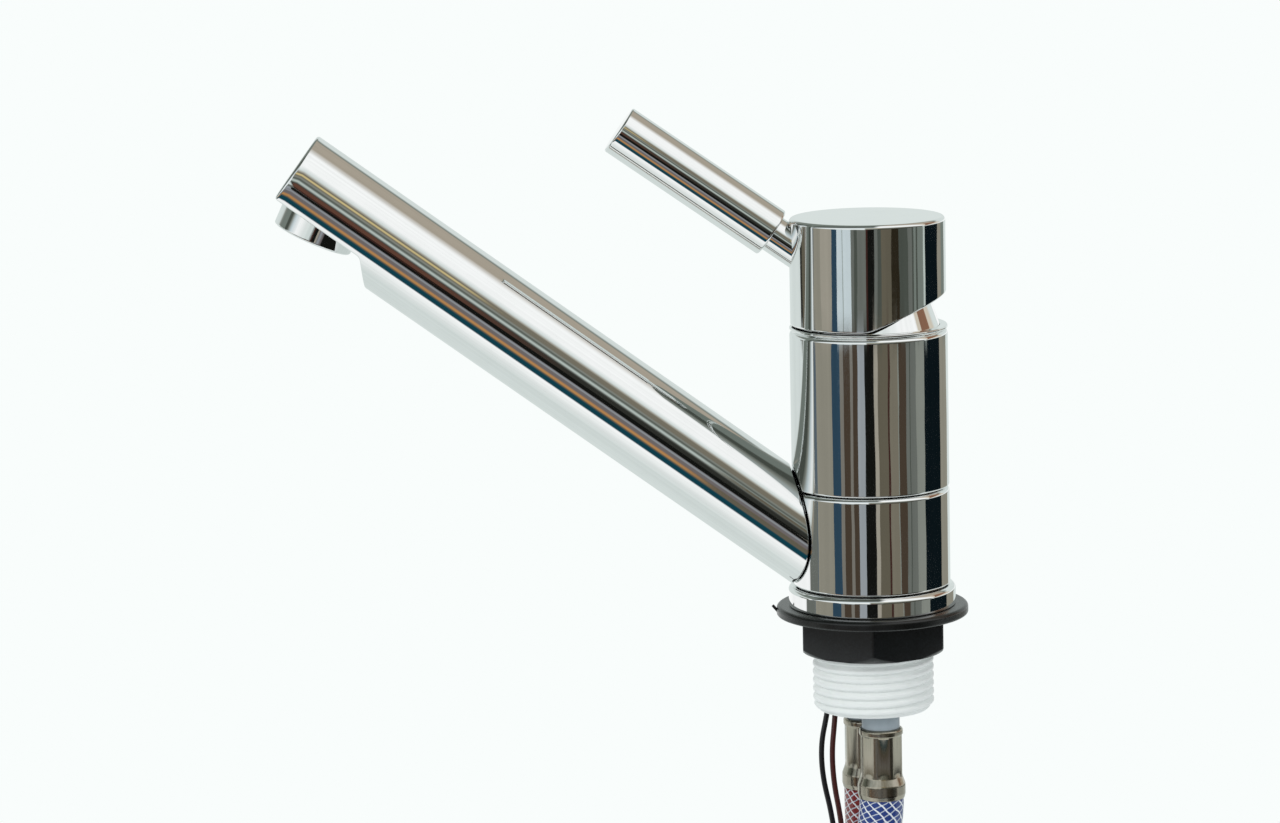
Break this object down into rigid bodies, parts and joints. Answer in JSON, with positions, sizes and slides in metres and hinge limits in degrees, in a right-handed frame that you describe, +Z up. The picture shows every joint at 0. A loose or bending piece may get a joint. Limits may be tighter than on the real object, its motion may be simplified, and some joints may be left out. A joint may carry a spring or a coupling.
{
  "type": "single-lever mixer tap",
  "caption": "Single-lever mixer tap for a caravan sink: swivel spout rising at an angle, rod lever on a cap, pump switch inside, threaded shank with hex nut, braided hoses and switch leads.",
  "frame": {"origin": "on the body's axis, at the underside of the deck seal, where the tap sits on the sink", "axes": "+Z up along the body's axis, the spout and the lever to -X at rest, cold on -Y and hot on +Y"},
  "size_m": [0.1867, 0.066, 0.4936],
  "materials": {
    "chromed_brass": "polished chrome plate over brass",
    "white_acetal": "moulded white acetal",
    "black_rubber": "moulded black rubber",
    "black_nylon": "moulded black glass-filled nylon",
    "grey_acetal": "moulded grey acetal",
    "crimped_steel": "stainless steel",
    "brass": "turned brass",
    "alumina": "lapped alumina",
    "blue_braid": "blue nylon braid over rubber",
    "red_braid": "red nylon braid over rubber",
    "black_pvc": "black PVC insulation",
    "brown_pvc": "dark brown PVC insulation",
    "tinned_brass": "tinned brass"
  },
  "bodies": {
    "base": {"threaded_shank": "white_acetal", "deck_seal": "black_rubber", "base_ring": "chromed_brass", "lower_slip_ring": "black_nylon", "upper_slip_ring": "black_nylon", "swivel_seals": "black_rubber", "body_shell": "chromed_brass", "cartridge_cover": "chromed_brass", "retaining_nut": "brass", "cartridge_housing": "white_acetal", "cartridge_base": "white_acetal", "port_seals": "black_rubber", "fixed_disc": "alumina", "microswitch": "black_nylon", "switch_leads": "black_pvc", "cold_tail": "grey_acetal", "hot_tail": "grey_acetal", "tail_seals": "black_rubber", "cold_ferrule": "crimped_steel", "hot_ferrule": "crimped_steel", "cold_hose": "blue_braid", "hot_hose": "red_braid", "cold_end_ferrule": "crimped_steel", "hot_end_ferrule": "crimped_steel", "cold_end_stem": "brass", "hot_end_stem": "brass", "black_wire": "black_pvc", "brown_wire": "brown_pvc", "black_terminal": "tinned_brass", "brown_terminal": "tinned_brass"},
    "nut": {"mounting_nut": "black_nylon"},
    "spout": {"swivel_collar": "chromed_brass", "spout_bush": "white_acetal", "spout_tube": "chromed_brass", "water_tube": "grey_acetal", "nozzle": "chromed_brass", "aerator_insert": "grey_acetal", "aerator_screen": "crimped_steel", "nozzle_washer": "black_rubber"},
    "mixer": {"mixer_rotor": "white_acetal", "pivot_pin": "crimped_steel"},
    "lever": {"lever_stem": "crimped_steel", "lever_cap": "chromed_brass", "lever_neck": "chromed_brass", "lever_grip": "chromed_brass", "grub_screw": "crimped_steel", "screw_plug": "grey_acetal"},
    "disc": {"moving_disc": "alumina", "disc_carrier": "white_acetal"},
    "switch": {"switch_plunger": "black_nylon", "switch_slider": "white_acetal"}
  },
  "joints": [
    {"name": "spout_swivel", "type": "hinge", "parent": "base", "child": "spout", "pos_m": [0, 0, 0.022], "axis": [0, 0, 1], "continuous": true},
    {"name": "mixer_turn", "type": "hinge", "parent": "base", "child": "mixer", "pos_m": [0, 0, 0.082], "axis": [0, 0, 1], "range_deg": [-45, 45]},
    {"name": "lever_lift", "type": "hinge", "parent": "mixer", "child": "lever", "pos_m": [0, 0, 0.082], "axis": [0, 1, 0], "range_deg": [0, 20]},
    {"name": "disc_slide", "type": "slide", "parent": "mixer", "child": "disc", "axis": [1, 0, 0], "range_m": [-0.0042, 0]},
    {"name": "switch_press", "type": "slide", "parent": "base", "child": "switch", "axis": [0, 0, 1], "range_m": [-0.003, 0]},
    {"name": "nut_run", "type": "slide", "parent": "base", "child": "nut", "axis": [0, 0, -1], "range_m": [0, 0.014]}
  ],
  "couplings": [
    {"joint": "disc_slide", "follows": "lever_lift", "m_per_rad": -0.011757},
    {"joint": "switch_press", "follows": "lever_lift", "m_per_rad": -0.008431}
  ]
}
